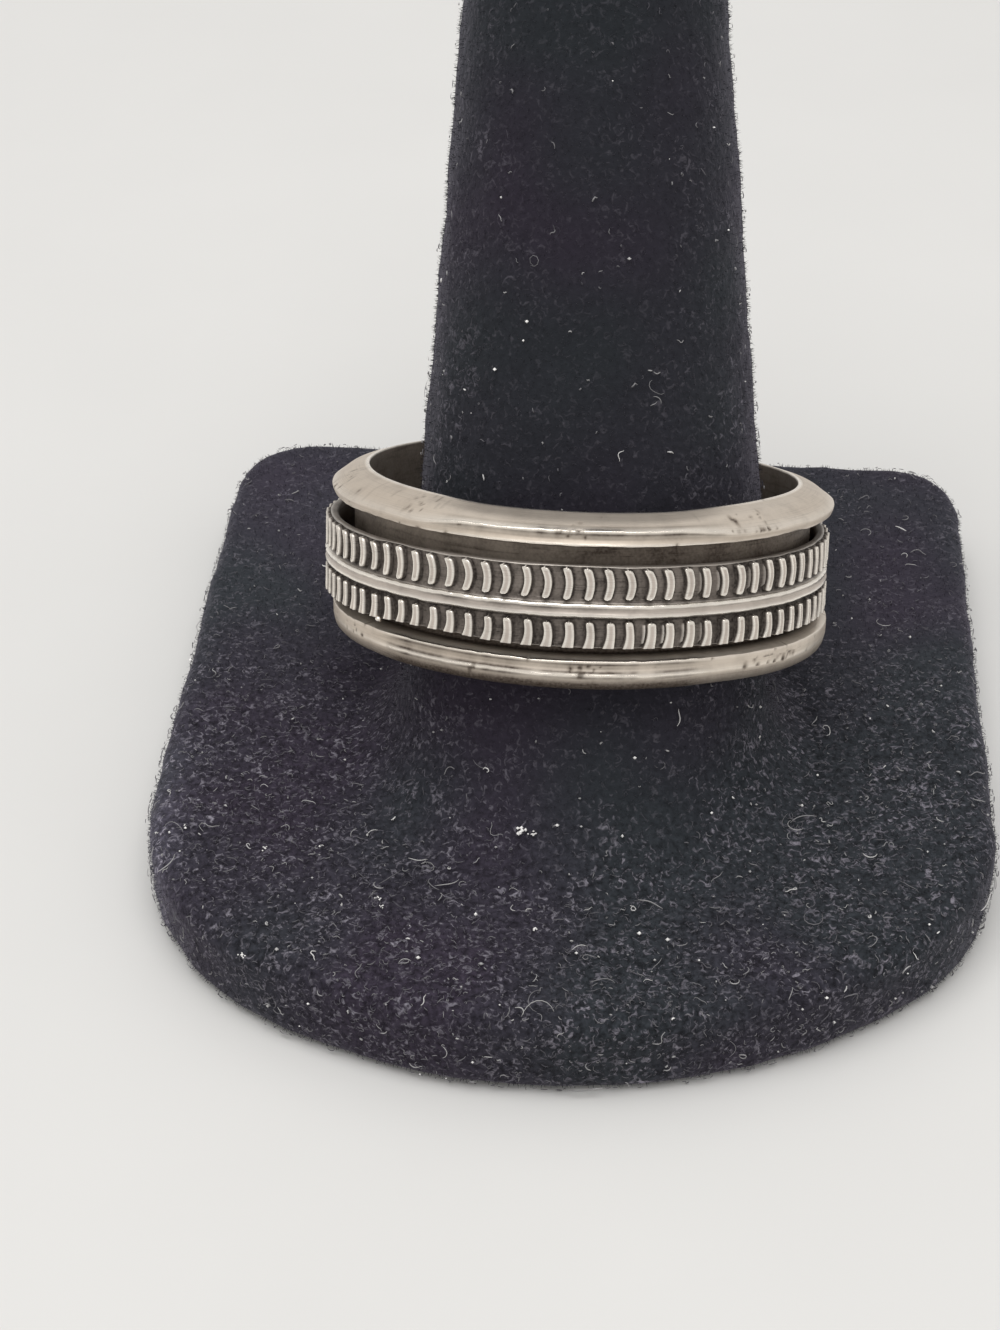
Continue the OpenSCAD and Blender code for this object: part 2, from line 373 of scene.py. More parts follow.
# Radius and height follow the section, a mix of the front's and the side's by the angle; each
# ridge wavers, the dents press it in along its own normal, and the rims rise and dip by the
# bends' heights, smoothed over the angle.
def ringBand(p):
    def wholeSection(upper, lower):
        corners = upper + [(r, -z, c) for r, z, c in lower[::-1]]
        return roundedSection(corners, p["arcPoints"], p["between"])[::-1]

    front = wholeSection(p["upperFront"], p["lowerFront"])
    side = wholeSection(p["upperSide"], p["lowerSide"])
    nu = p["around"]
    turn = roundSteps(nu)
    radius, upDown = front[:, 0], front[:, 1]
    height, isUp = np.abs(upDown), upDown > 0
    wear = np.where(isUp, roundRing(turn, *p["upperWear"]), roundRing(turn, *p["lowerWear"]))
    wear = np.maximum(wear, roundRing(turn, *p["backWear"]))
    r, z = [side[:, k] * (1 - wear) + front[:, k] * wear for k in (0, 1)]
    step = np.roll(front, -1, 0) - np.roll(front, 1, 0)
    normal = unit(np.stack([step[:, 1], -step[:, 0]], -1))
    along = np.cumsum(np.linalg.norm(front - np.roll(front, 1, 0), axis=1))
    length = along[-1]
    outside = (radius > p["boreEndR"]) & (height > p["outsideZ"])
    u = turn / (2 * math.pi) + 0 * r
    v = along / length + 0 * r
    waver = softField(u, v, 46, 12, p["seed"] + 1) + 0.6 * softField(u, v, 190, 20, p["seed"] + 2)
    ridge = bell(height - p["ridgeZ"], p["ridgeWide"]) + bell(height - p["lipZ"], p["lipWide"])
    ridge = ridge * (radius > p["ridgeR"])
    z += waver * p["waver"] * ridge
    press = ringDents(p, front, along, turn, outside)
    inward = (press + p["swell"] * softField(u, v, 60, 22, p["seed"] + 5)) * outside
    r -= inward * normal[:, 0]
    z -= inward * normal[:, 1]
    window = np.hanning(nu // 8)

    def bend(at, rise):
        raw = np.interp(np.degrees((turn[:, 0] + math.pi) % (2 * math.pi)) - 180, at, rise)
        return np.convolve(np.tile(raw, 3), window / window.sum(), "same")[nu:2 * nu, None]

    z += bend(p["bentAt"], p["bent"]) * np.clip((z + 1) / 3.5, 0, 1) \
        + bend(p["lowBentAt"], p["lowBent"]) * np.clip((-z - 1) / 1.6, 0, 1)
    points = atAngle(r, turn, z)
    # tarnish and painted shade: the wall and the rims' inner faces, the bore, patches of the slope,
    # painted shade on the lower shoulder and in lines along the ridges; dents and scratches add to it
    deepest = p["dentDepth"][1]
    wall = (radius < p["wallEndR"]) & (height < p["lipZ"]) & (radius > p["slopeR"])
    wallTarnishAndShade = np.where(isUp, *p["wallTarnishAndShade"]) - patchRound(turn, *p["wallPale"]) * isUp
    innerFace = (radius >= p["wallEndR"]) & (height < p["lipZ"] - 0.02)
    bore = np.clip((p["boreEndR"] + 0.02 - radius) / 0.06, 0, 1) * (height < p["boreEndZ"])
    slope = (upDown > p["slopeZ"]) & (radius > p["slopeR"])
    # painted shade: the lower shoulder is darkened as if it reflected the dark velvet below
    shoulderShade = np.clip((-upDown - p["shoulderZ"]) / p["shoulderOver"], 0, 1) * (radius > p["slopeR"])
    lines = sum(k * bell(upDown - at, w) for at, w, k in p["lines"]) * (radius > p["linesR"])
    dark = np.maximum(wall * wallTarnishAndShade, innerFace * np.where(isUp, *p["faceTarnishAndLight"]))
    dark = np.maximum(dark, p["boreTone"] * bore)
    dark = np.maximum(dark, slope * sum(patchRound(turn, *patch) for patch in p["slopeDarker"]))
    dark = np.maximum(dark, shoulderShade * (0.5 + 0.5 * wear))
    dark = np.maximum(dark, lines * wear * (0.75 + 0.45 * waver))
    dark = dark + 0.9 * press / deepest * outside
    for degrees, start, end, strength in p["scratches"]:
        across = slope & (radius > start) & (radius < end)
        dark = dark + strength * bell(angleFrom(turn, degrees) * rimR, p["scratchWide"]) * across
    # rubbed bright, partly as painted highlights: the ridges, the bore's edge, and lighter patches of
    # the slope and the lower face
    edge = (radius < p["edgeR"]) & (height > p["edgeZ"])
    lowFace = (upDown < -p["lowFaceZ"]) & (radius > p["lowFaceR"])
    worn = ridge * (0.4 + 0.8 * wear) + 0.9 * edge - press / deepest
    worn = worn + slope * patchRound(turn, *p["slopeLighter"])
    worn = worn + lowFace * patchRound(turn, *p["lowFaceLighter"])
    fields = dict(tarnishAndShade=np.clip(dark, 0, 1), worn=np.clip(worn, 0, 1))
    return surfacePiece("ringCore", onRingAxis(points), fields, True, (2 * math.pi * rimR, length))


# Spinner band: its bars follow the columns of the grid, so their edges stay crisp.
spin = dict(
    innerR=11.55, groundR=11.92, low=-1.90, high=1.80,      # the loose band itself
    ridgeTop=0.125, ridgeLow=-0.525, rowGap=0.2, topMargin=0.1,
    bars=82, barW=0.33, run=0.055, phase=-0.63,             # run is the slope of a bar's side
    lowShift=0.14 / 0.93,                                   # the lower row's shift, in pitches
    bow=0.14, headLean=0.06, lowBow=0.075, footKick=0.05, footSpread=0.075, blunt=3.2,
    left=0.24, down=0.235, rightDown=0.16, frontUp=0.13,    # how the loose band hangs, in mm
    trim=0.16, trimmedAt=(-33, 5, 16),                      # the low edge is cut higher there
    # spread of the bars' own irregularities: place, tilt, bow, width, tallness and rise
    jitter=0.026, tilt=0.035, ownBow=0.16, ownWide=0.06, ownTall=0.022, ownRise=0.05,
    # how far the ridge's columns are drawn to an even spacing, and their shift in mm
    ridgeEven=0.6, ridgeShift=0.07,
    # double strikes: bars and strengths, and the ends of the row that stay free
    lowStrikes=[(3, 0.9), (4, 1.0), (5, 0.6), (6, 0.35)], lowFree=(0.25, 0.12),
    highStrikes=[(6, 0.4), (7, 0.5), (9, 0.5), (10, 0.5)], highFree=(0.3, 0.2),
    strikeShift=(0.16, 0.08), strikeRise=0.95,
    # tarnish of the ground in the lower row, the ridge and the upper row, and how much darker it is
    # towards the sides
    groundTone=(0.80, 0.5, 0.73), sideTone=(0.28, 0.2, 0.2), front=(0, 26, 28),
    grooveWorn=(-13, 22, 10), mapHeight=9.0, seed=23,
    # random fields: amount, cells round the band and across it, and what is added to the seed
    raggedEdge=(0.10, 300, 6, 4), ridgeWaves=[(0.018, 90, 3, 5), (0.012, 330, 8, 6)],
    grain=[(0.010, 420, 24, 7), (0.006, 120, 6, 8)],
    patchyTone=(0.09, 160, 10, 9), patchyGroove=(0.7, 70, 30, 10))


# The height over the ground is a bar's cross profile times its profile along the bar. The
# place along the band is the bar's own middle, plus its bow, plus the column's share of the
# half width, which closes to a round head where the bar ends.
def spinnerBand(p):
    rng = np.random.default_rng(p["seed"])
    n = p["bars"]
    pitch = 2 * math.pi * reliefR / n
    half, run = p["barW"] / 2, p["run"]
    # columns of one bar: share of the half width, offset outside it, and height share
    side = np.array([-1, -1, -1, -0.6, -0.4, 0, 0.4, 0.6, 1, 1, 1])
    offset = np.array([-1, -0.45, 0, 0, 0, 0, 0, 0, 0, 0.45, 1]) * run
    rise = np.array([0, 0.42, 0.93, 1.0, 0.93, 0.91, 0.93, 1.0, 0.93, 0.42, 0])
    ground = np.array([0.25, 0.5, 0.75])
    sides = len(side)
    perBar = sides + len(ground)
    nu = n * perBar
    # rows from the bottom edge of the outer face to its top edge
    lowTop = p["ridgeLow"] - p["rowGap"]
    highLow = p["ridgeTop"] + p["rowGap"]
    highTop = p["high"] - p["topMargin"]
    headTurn = np.radians([0, 25, 48, 66, 80, 90])
    lowHead = lowTop - half + half * np.sin(headTurn)
    highHead = highTop - half + half * np.sin(headTurn)
    highFoot = highLow + half - half * np.sin(headTurn)
    lowBody = np.linspace(p["low"] + 0.05, lowTop - half, 9)[:-1]
    highBody = np.linspace(highLow + half, highTop - half, 8)[1:-1]
    fromEdge = np.array([-0.05, 0.01, 0.06, 0.13, 0.22])
    ridgeRows = np.concatenate([p["ridgeLow"] + fromEdge, [(p["ridgeLow"] + p["ridgeTop"]) / 2],
                                p["ridgeTop"] - fromEdge[::-1]])
    ridgeRise = np.array([0, 0.45, 0.95, 1.0, 0.80, 0.66, 0.76, 1.0, 0.95, 0.5, 0])
    face = np.concatenate([
        [p["low"], p["low"] + 0.02], lowBody, lowHead, [lowTop + run],
        ridgeRows, [highLow - run], highFoot[::-1], highBody, highHead, [highTop + run],
        [p["high"] - 0.03, p["high"]]])
    nLow = 2 + len(lowBody) + len(lowHead) + 1
    nRidge = len(ridgeRows)
    nFace = len(face)
    rowKind = np.zeros(nFace, int)                    # 0 lower row, 1 ridge, 2 upper row
    rowKind[nLow:nLow + nRidge] = 1
    rowKind[nLow + nRidge:] = 2
    onRidge = np.flatnonzero(rowKind == 1)

    # shape of a bar along the band's height, for each row of the grid
    def close(z, top):
        past = np.clip(z - (top - half), 0, half) / half
        return (1 - past ** p["blunt"]) ** (1 / p["blunt"])

    widthLow = np.where(face <= lowTop, close(face, lowTop), 0)
    widthHigh = np.where(face <= highTop, close(face, highTop), 0) \
        * np.where(face >= highLow, close(highLow + highTop - face, highTop), 0)
    width = np.maximum(np.where(rowKind == 0, widthLow, widthHigh), 0.04)
    tLow = np.clip((face - p["low"]) / (lowTop - p["low"]), 0, 1)
    tHigh = np.clip((face - highLow) / (highTop - highLow), 0, 1)
    barLow = (rowKind == 0) & (face < lowTop + run / 2) & (face > p["low"] + 0.01)
    barHigh = (rowKind == 2) & (face < highTop + run / 2) & (face > highLow - run / 2)
    barRows = barLow | barHigh
    bowLow = p["lowBow"] * np.sin(math.pi * tLow) - p["footKick"] * (1 - tLow) ** 2.5
    bowHigh = p["bow"] * np.sin(math.pi * tHigh) - p["headLean"] * tHigh ** 5
    bow = np.where(rowKind == 0, bowLow, bowHigh)
    spread = np.where(rowKind == 0, p["footSpread"] * (1 - tLow) ** 3, 0.02 * tHigh ** 4)
    middle = (np.arange(n) + p["phase"] * n / 360) * pitch
    columns = np.zeros((n, perBar, nFace))
    zed = np.broadcast_to(face, (n, perBar, nFace)).copy()
    lift = np.zeros((n, perBar, nFace))
    for row, t, shift in ((0, tLow, p["lowShift"] * pitch), (2, tHigh, 0)):
        rows = np.flatnonzero(rowKind == row)
        shifts, tilts = rng.normal(0, p["jitter"], (n, 1)), rng.normal(0, p["tilt"], (n, 1))
        bows, wides = rng.normal(1, p["ownBow"], (n, 1)), rng.normal(1, p["ownWide"], (n, 1))
        talls, rises = rng.normal(0, p["ownTall"], (n, 1)), rng.normal(1, p["ownRise"], (n, 1, 1))
        centre = middle[:, None] + shifts + tilts * (t[rows] - 0.5) + bows * bow[rows] + shift
        halfWidth = half * wides * width[rows] + spread[rows]
        columns[:, :sides, rows] = centre[:, None] + side[None, :, None] * halfWidth[:, None] \
            + offset[None, :, None]
        lift[:, :sides, rows] = rise[None, :, None] * barRows[rows] * rises
        ends = np.clip(np.abs(t[rows] - 0.5) * 2, 0, 1) ** 4 * np.sign(t[rows] - 0.5)
        if row == 0:
            ends = np.clip(ends, 0, 1)
        zed[:, :sides, rows] += (talls * ends)[:, None]
    # the ridge's columns run evenly from the lower row's to the upper row's
    mix = (face[onRidge] - lowTop) / (highLow - lowTop)
    below, above = columns[:, :sides, onRidge[0] - 1], columns[:, :sides, onRidge[-1] + 1]
    drawn = below[..., None] * (1 - mix) + above[..., None] * mix
    even = middle[:, None] + np.linspace(-1, 1, sides) * (half + run) + p["ridgeShift"]
    columns[:, :sides, onRidge] = (1 - p["ridgeEven"]) * drawn + p["ridgeEven"] * even[..., None]
    # ground between one bar's last column and the next bar's first
    nextFirst = np.roll(columns[:, 0], -1, 0)
    nextFirst[-1] += 2 * math.pi * reliefR
    lastOwn = columns[:, sides - 1]
    share = ground[None, :, None]
    columns[:, sides:] = lastOwn[:, None] + (nextFirst - lastOwn)[:, None] * share
    nextZ = np.roll(zed[:, 0], -1, 0)
    zed[:, sides:] = zed[:, sides - 1][:, None] * (1 - share) + nextZ[:, None] * share
    # double strikes: a second, fainter bar edge in the ground close beside a few bars
    struck = np.zeros((n, perBar, nFace))
    for strikes, free, low, high, row in ((p["lowStrikes"], p["lowFree"], p["low"], lowTop, 0),
                                          (p["highStrikes"], p["highFree"], highLow, highTop, 2)):
        inRow = (rowKind == row) & (face > low + free[0]) & (face < high - free[1])
        for bar, strength in strikes:
            gap = (nextFirst - lastOwn)[bar] * inRow
            struck[bar, -1] += strength * inRow
            columns[bar, -2] += p["strikeShift"][0] * gap
            columns[bar, -1] += p["strikeShift"][1] * gap
    lift += p["strikeRise"] * struck
    columns, zed, lift, struck = [k.reshape(nu, nFace) for k in (columns, zed, lift, struck)]
    turn = columns / reliefR
    u = turn / (2 * math.pi)
    v = np.clip((zed - p["low"]) / (p["high"] - p["low"]), 0, 1)

    # a random field with its own seed, on some of the rows
    def uneven(rows, amount, cellsU, cellsV, own):
        return amount * softField(u[:, rows], v[:, rows], cellsU, cellsV, p["seed"] + own)

    # middle ridge, with a ragged upper edge
    everyRow, upperEdge = np.arange(nFace), onRidge[7:10]
    lift[:, onRidge] = ridgeRise
    lift[:, upperEdge] *= 1 + uneven(upperEdge, *p["raggedEdge"])
    zed[:, onRidge] += sum(uneven(onRidge, *k) for k in p["ridgeWaves"])
    grain = sum(uneven(everyRow, *k) for k in p["grain"])
    r = p["groundR"] + (reliefR - p["groundR"]) * lift + grain * (1 - 0.5 * np.clip(lift, 0, 1))
    barEdges = np.isin(np.arange(nu) % perBar, (0, sides - 1))[:, None]
    r = r - 0.05 * barEdges * barRows
    r[:, [0, -1]] -= 0.03
    # the flat top, the smooth inside and the bottom close the section
    inner, bevelR, flatR = p["innerR"], p["innerR"] + 0.08, p["groundR"] - 0.12
    inside = np.array([[flatR, p["high"] + 0.01], [bevelR, p["high"] + 0.01], [inner, p["high"] - 0.06],
                       [inner, 0.9], [inner, 0.0], [inner, -0.9],
                       [inner, p["low"] + 0.06], [bevelR, p["low"] - 0.01], [flatR, p["low"] - 0.01]])
    nInside = len(inside)
    blend = np.linspace(0, 1, nInside)
    r = np.concatenate([r, np.broadcast_to(inside[:, 0], (nu, nInside))], 1)
    z = np.concatenate([zed, np.broadcast_to(inside[:, 1], (nu, nInside))], 1)
    turn = np.concatenate([turn, turn[:, -1:] * (1 - blend) + turn[:, :1] * blend], 1)
    cut = np.clip((lowTop - z) / (lowTop - p["low"]), 0, 1)
    z = z + p["trim"] * roundRing(turn, *p["trimmedAt"]) * cut
    z = z - p["down"] - p["rightDown"] * np.sin(turn) + p["frontUp"] * np.cos(turn)
    points = atAngle(r, turn, z) - [p["left"], 0, 0]
    # tarnish fills the ground, and tarnish with painted contact shadow outlines each bar; wear with
    # painted highlights brightens the edges of the bars and the middle ridge
    beside = (barRows | np.roll(barRows, 1) | np.roll(barRows, -1)) & (rowKind != 1)
    tarnishAndShadowOutline = np.zeros((n, perBar, nFace))
    tarnishAndShadowOutline[:, [0, sides - 1]] = beside
    tarnishAndShadowOutline[:, [1, sides - 2]] = 0.85 * beside
    tarnishAndShadowOutline[:, :sides] = np.maximum(tarnishAndShadowOutline[:, :sides], beside & ~barRows)
    tarnishAndShadowOutline = tarnishAndShadowOutline.reshape(nu, nFace)
    tarnishAndShadowOutline[:, nLow] = 1.0
    tarnishAndShadowOutline[:, nLow + nRidge - 1] = 0.75
    aside = 1 - roundRing(turn[:, :nFace], *p["front"])
    dark = np.array(p["groundTone"])[rowKind] + uneven(everyRow, *p["patchyTone"]) \
        + aside * np.array(p["sideTone"])[rowKind]
    dark = np.maximum(dark * np.clip(1 - lift * 1.6, 0, 1), tarnishAndShadowOutline)
    edgeWearAndHighlight = np.array([0, 0, 1.0, 1.0, 0.25, 0.1, 0.25, 1.0, 1.0, 0, 0] + [0] * len(ground))
    tip = np.where(rowKind == 0, tLow > 0.90, (tHigh > 0.93) | (tHigh < 0.08)) * (rowKind != 1)
    bright = np.maximum(edgeWearAndHighlight[:, None], 0.9 * tip * (edgeWearAndHighlight > 0)[:, None])
    bright = np.tile(bright, (n, 1)) * (lift > 0.3)
    bright[:, onRidge] = np.array([0, 0.3, 0.8, 1.0, 0.2, 0.1, 0.2, 1.0, 1.0, 0.8, 0])
    groove = np.array([0, 0, 0, 0.05, 0.18, 0.22, 0.42, 0.05, 0, 0, 0])
    groove = groove * (0.25 + 0.95 * roundRing(turn[:, :1], *p["grooveWorn"]))
    groove = groove * (1 + uneven(onRidge, *p["patchyGroove"]))
    dark[:, onRidge] = np.maximum(dark[:, onRidge], groove)
    bright = np.maximum(bright, struck)
    # the band's own two edges are rubbed bright, partly a painted highlight
    edges = [0, 1, nFace - 2, nFace - 1]
    bright[:, edges] = 0.55
    dark[:, edges] *= 0.6
    dark = np.concatenate([dark, np.full((nu, nInside), 0.6)], 1)
    bright = np.concatenate([bright, np.zeros((nu, nInside))], 1)
    fields = dict(tarnishAndShade=np.clip(dark, 0, 1), worn=bright)
    mapSize = (2 * math.pi * reliefR, p["mapHeight"])
    return surfacePiece("spinnerPattern", onRingAxis(points), fields, True, mapSize)


# Bead of cast silver at the band's lower edge: a ball, a little flattened.
bead = dict(angle=-47.1, radius=12.02, height=-1.93, size=0.16, flat=0.9, around=16, rows=9)


def castBead(p):
    a = math.radians(p["angle"])
    u = roundSteps(p["around"])
    v = np.linspace(-0.48, 0.48, p["rows"])[None] * math.pi
    ball = np.stack([np.cos(u) * np.cos(v), np.sin(u) * np.cos(v), p["flat"] * np.sin(v) + 0 * u], -1)
    middle = [p["radius"] * math.sin(a) - spin["left"], -p["radius"] * math.cos(a), p["height"]]
    none = np.zeros(ball.shape[:2])
    grid = onRingAxis(ball * p["size"] + middle)
    # the whole bead takes the polished colour, partly a painted highlight
    return surfacePiece("castBead", grid, dict(tarnishAndShade=none, worn=none + 1), False)


# Stand: a velvet covered D-shaped board and a leaning velvet finger. The skins lie a pile's
# depth inside the solids, so that the tips of the pile reach the solids' own surface.
stand = dict(
    frontR=26, leftCornerR=13, rightCornerR=10.6, backR=4.1, frontShift=-0.85,
    edge=1.0, turned=-0.8, moved=(0.08, 0.0), outlinePoints=460, pileDepth=0.16,
    wobble=0.07, lumps=0.05,
    bedDepth=0.1, bedR=11.2, bedWide=0.9,                   # pressed in by the ring's back edge
    fingerR=8.6, taper=5.3, fingerLen=41, tipLen=4.6,       # finger, from the ring's middle
    footFront=3.2, footBack=0.35,                           # the foot's sweep in front and behind
    fingerAround=280, fingerLumps=0.045, fingerWobble=0.05,
    sideShift=0.42, sideSlope=0.0225, sideEnds=(-0.12, 0.4), seed=41)


# Outline of the board by arc length, counter-clockwise from its left side: round corners, a
# curved front that stands a little to the left, straight sides and back. Each arc touches
# its neighbours. Gives places and outward normals.
def boardOutline(p, count):
    halfW = (baseHigh[0] - baseLow[0]) / 2 - p["pileDepth"]
    halfD = (baseHigh[1] - baseLow[1]) / 2 - p["pileDepth"]
    frontR, shift = p["frontR"], p["frontShift"]
    frontY = frontR - halfD

    def corner(r, side):
        reach = frontR - r
        x = side * (halfW - r) - shift
        return x + shift, frontY - math.sqrt(reach ** 2 - x ** 2), math.asin(abs(x) / reach)

    def arc(cx, cy, r, start, end):
        a = np.linspace(start, end, 80)
        return np.stack([cx + r * np.cos(a), cy + r * np.sin(a), np.cos(a), np.sin(a)], -1)

    leftX, leftY, leftTurn = corner(p["leftCornerR"], -1)
    rightX, rightY, rightTurn = corner(p["rightCornerR"], 1)
    front, quarter, backR = 1.5 * math.pi, 0.5 * math.pi, p["backR"]
    path = np.concatenate([
        arc(leftX, leftY, p["leftCornerR"], math.pi, front - leftTurn),
        arc(shift, frontY, frontR, front - leftTurn, front + rightTurn),
        arc(rightX, rightY, p["rightCornerR"], front + rightTurn, 2 * math.pi),
        arc(halfW - backR, halfD - backR, backR, 0, quarter),
        arc(-halfW + backR, halfD - backR, backR, quarter, math.pi)])
    path = np.concatenate([path, path[:1]])
    length = np.concatenate([[0], np.cumsum(np.linalg.norm(np.diff(path[:, :2], axis=0), axis=1))])
    at = np.linspace(0, length[-1], count, endpoint=False)
    return np.stack([np.interp(at, length, path[:, k]) for k in range(4)], -1)


# Height of the velvet's lumps on the board, in mm, at places in space.
def boardLumps(p, points):
    return p["wobble"] * ripples(points * [1, 1, 0.3], 9.0, 8, p["seed"]) \
        + p["lumps"] * ripples(points, 2.6, 12, p["seed"] + 1) \
        + 0.4 * p["lumps"] * ripples(points, 0.9, 12, p["seed"] + 2)


# Board surface: rows run from the middle of the underside, round the edge and to the middle
# of the top. A row is the outline pulled in along its normal, or shrunk to the middle, and
# velvet lumps push the surface out along its own normals.
def standBoard(p):
    line = boardOutline(p, p["outlinePoints"])
    place, out = line[:, :2], line[:, 2:]
    edge, top = p["edge"], baseTop - p["pileDepth"]
    a = np.radians(np.linspace(0, 90, 7))
    rim = [(edge * (1 - math.sin(t)), edge * (1 - math.cos(t))) for t in a]
    rim += [(0, z) for z in np.linspace(edge, top - edge, 8)[1:-1]]
    rim += [(edge * (1 - math.sin(t)), top - edge * (1 - math.cos(t))) for t in a[::-1]]
    flat = place - out * edge
    rows = [np.column_stack([flat * f, np.zeros(len(flat))]) for f in (0.02, 0.35, 0.7, 0.95)]
    rows += [np.column_stack([place - out * inset, np.full(len(place), z)]) for inset, z in rim]
    rows += [np.column_stack([flat * f, np.full(len(flat), top)]) for f in np.linspace(1, 0.02, 46)[1:]]
    grid = np.stack(rows, 1)
    outward = gridNormals(grid)
    raised = np.clip(grid[..., 2] / 0.8, 0, 1)
    lump = boardLumps(p, grid)
    onTop = np.clip((grid[..., 2] - top + 0.6) / 0.6, 0, 1)
    grid = grid + outward * (lump * raised * (1 - 0.5 * onTop))[..., None]
    # the ring's back edge has pressed a shallow bed into the velvet
    fromFoot = np.hypot(grid[..., 0], (grid[..., 1] - ringMiddle[1] + 2.2) / 0.92)
    behind = grid[..., 1] > ringMiddle[1] + 3
    grid[..., 2] -= p["bedDepth"] * bell(fromFoot - p["bedR"], p["bedWide"]) * onTop * behind
    c, s = math.cos(math.radians(p["turned"])), math.sin(math.radians(p["turned"]))
    x, y = grid[..., 0] * c - grid[..., 1] * s, grid[..., 0] * s + grid[..., 1] * c
    grid = np.stack([x + p["moved"][0], y + p["moved"][1], np.maximum(grid[..., 2], 0)], -1)
    return surfacePiece("boardVelvet", grid, velvetFields(grid), False), grid


# Painted shade and sheen on the velvet, and its nap. An oval patch has a strength, its middle in x and
# y, and its half widths. Heights are over the board's top; side is the half width over which the
# finger's sides fade.
shadeAndNap = dict(
    aboveFrom=4, aboveOver=5, middleX=0.2, side=8, leftFade=0.5, rightFade=0.9,
    # a painted shadow under the ring, painted sheen along the left edge, and painted light at the back
    # left
    shadowUnderRing=(0.45, 0.4, -8.0, 10.5, 5.2),
    leftEdgeSheen=(3.3, -19.5, -11.5, 1.3, 7.5), backLeftLight=(0.6, -15, 17, 4.5, 6),
    napBehind=0.34, napFromY=10, napOverY=14, smoothByRing=(0.5, 0.4, -8.5, 9, 3.5),
    fingerNap=0.22, fingerSideNap=0.55, fingerFootNap=0.15, footHeight=9)


# Soft oval patch: the strength times a bell curve in x and one in y.
def ovalPatch(x, y, strength, middleX, middleY, wideX, wideY):
    return strength * np.exp(-((x - middleX) / wideX) ** 2 - ((y - middleY) / wideY) ** 2)


# How near a place is to the finger's sides: 0 in the middle, 1 at the side, as a cube.
def sideShare(x):
    return np.clip(np.abs(x - shadeAndNap["middleX"]) / shadeAndNap["side"], 0, 1) ** 3


# Painted shade and sheen in the velvet's colour: darkest on the finger above the ring and less towards
# its sides, which paints their sheen; a painted shadow under the ring round the foot; and below zero,
# so lighter, as painted sheen along the board's left edge and painted light at its back left.
def velvetShade(points):
    x, y, z = np.moveaxis(points, -1, 0)
    fade = np.where(x > shadeAndNap["middleX"], shadeAndNap["rightFade"], shadeAndNap["leftFade"])
    above = np.clip((z - baseTop - shadeAndNap["aboveFrom"]) / shadeAndNap["aboveOver"], 0, 1)
    above = above * (1 - fade * sideShare(x))
    onBoard = z < baseTop + 0.5
    edgeSheen = ovalPatch(x, y, *shadeAndNap["leftEdgeSheen"]) * onBoard
    return np.maximum(above, ovalPatch(x, y, *shadeAndNap["shadowUnderRing"])) - edgeSheen \
        - ovalPatch(x, y, *shadeAndNap["backLeftLight"]) * onBoard


# How far the nap is ruffled: smooth on the finger and behind the ring, ruffled towards the
# board's front and a little down the finger's sides.
def velvetNap(points):
    x, y, z = np.moveaxis(points, -1, 0)
    front = smoothStep((shadeAndNap["napFromY"] - y) / shadeAndNap["napOverY"])
    onBoard = shadeAndNap["napBehind"] + (1 - shadeAndNap["napBehind"]) * front
    onBoard = onBoard * (1 - ovalPatch(x, y, *shadeAndNap["smoothByRing"]))
    onFinger = shadeAndNap["fingerNap"] + shadeAndNap["fingerSideNap"] * sideShare(x) \
        + shadeAndNap["fingerFootNap"] * np.exp(-(z - baseTop) / shadeAndNap["footHeight"])
    up = np.clip((z - baseTop - 0.5) / 3, 0, 1)
    return onBoard * (1 - up) + onFinger * up


# The fields that the velvet's material reads, for each vertex.
def velvetFields(points):
    return dict(shade=velvetShade(points), nap=velvetNap(points))


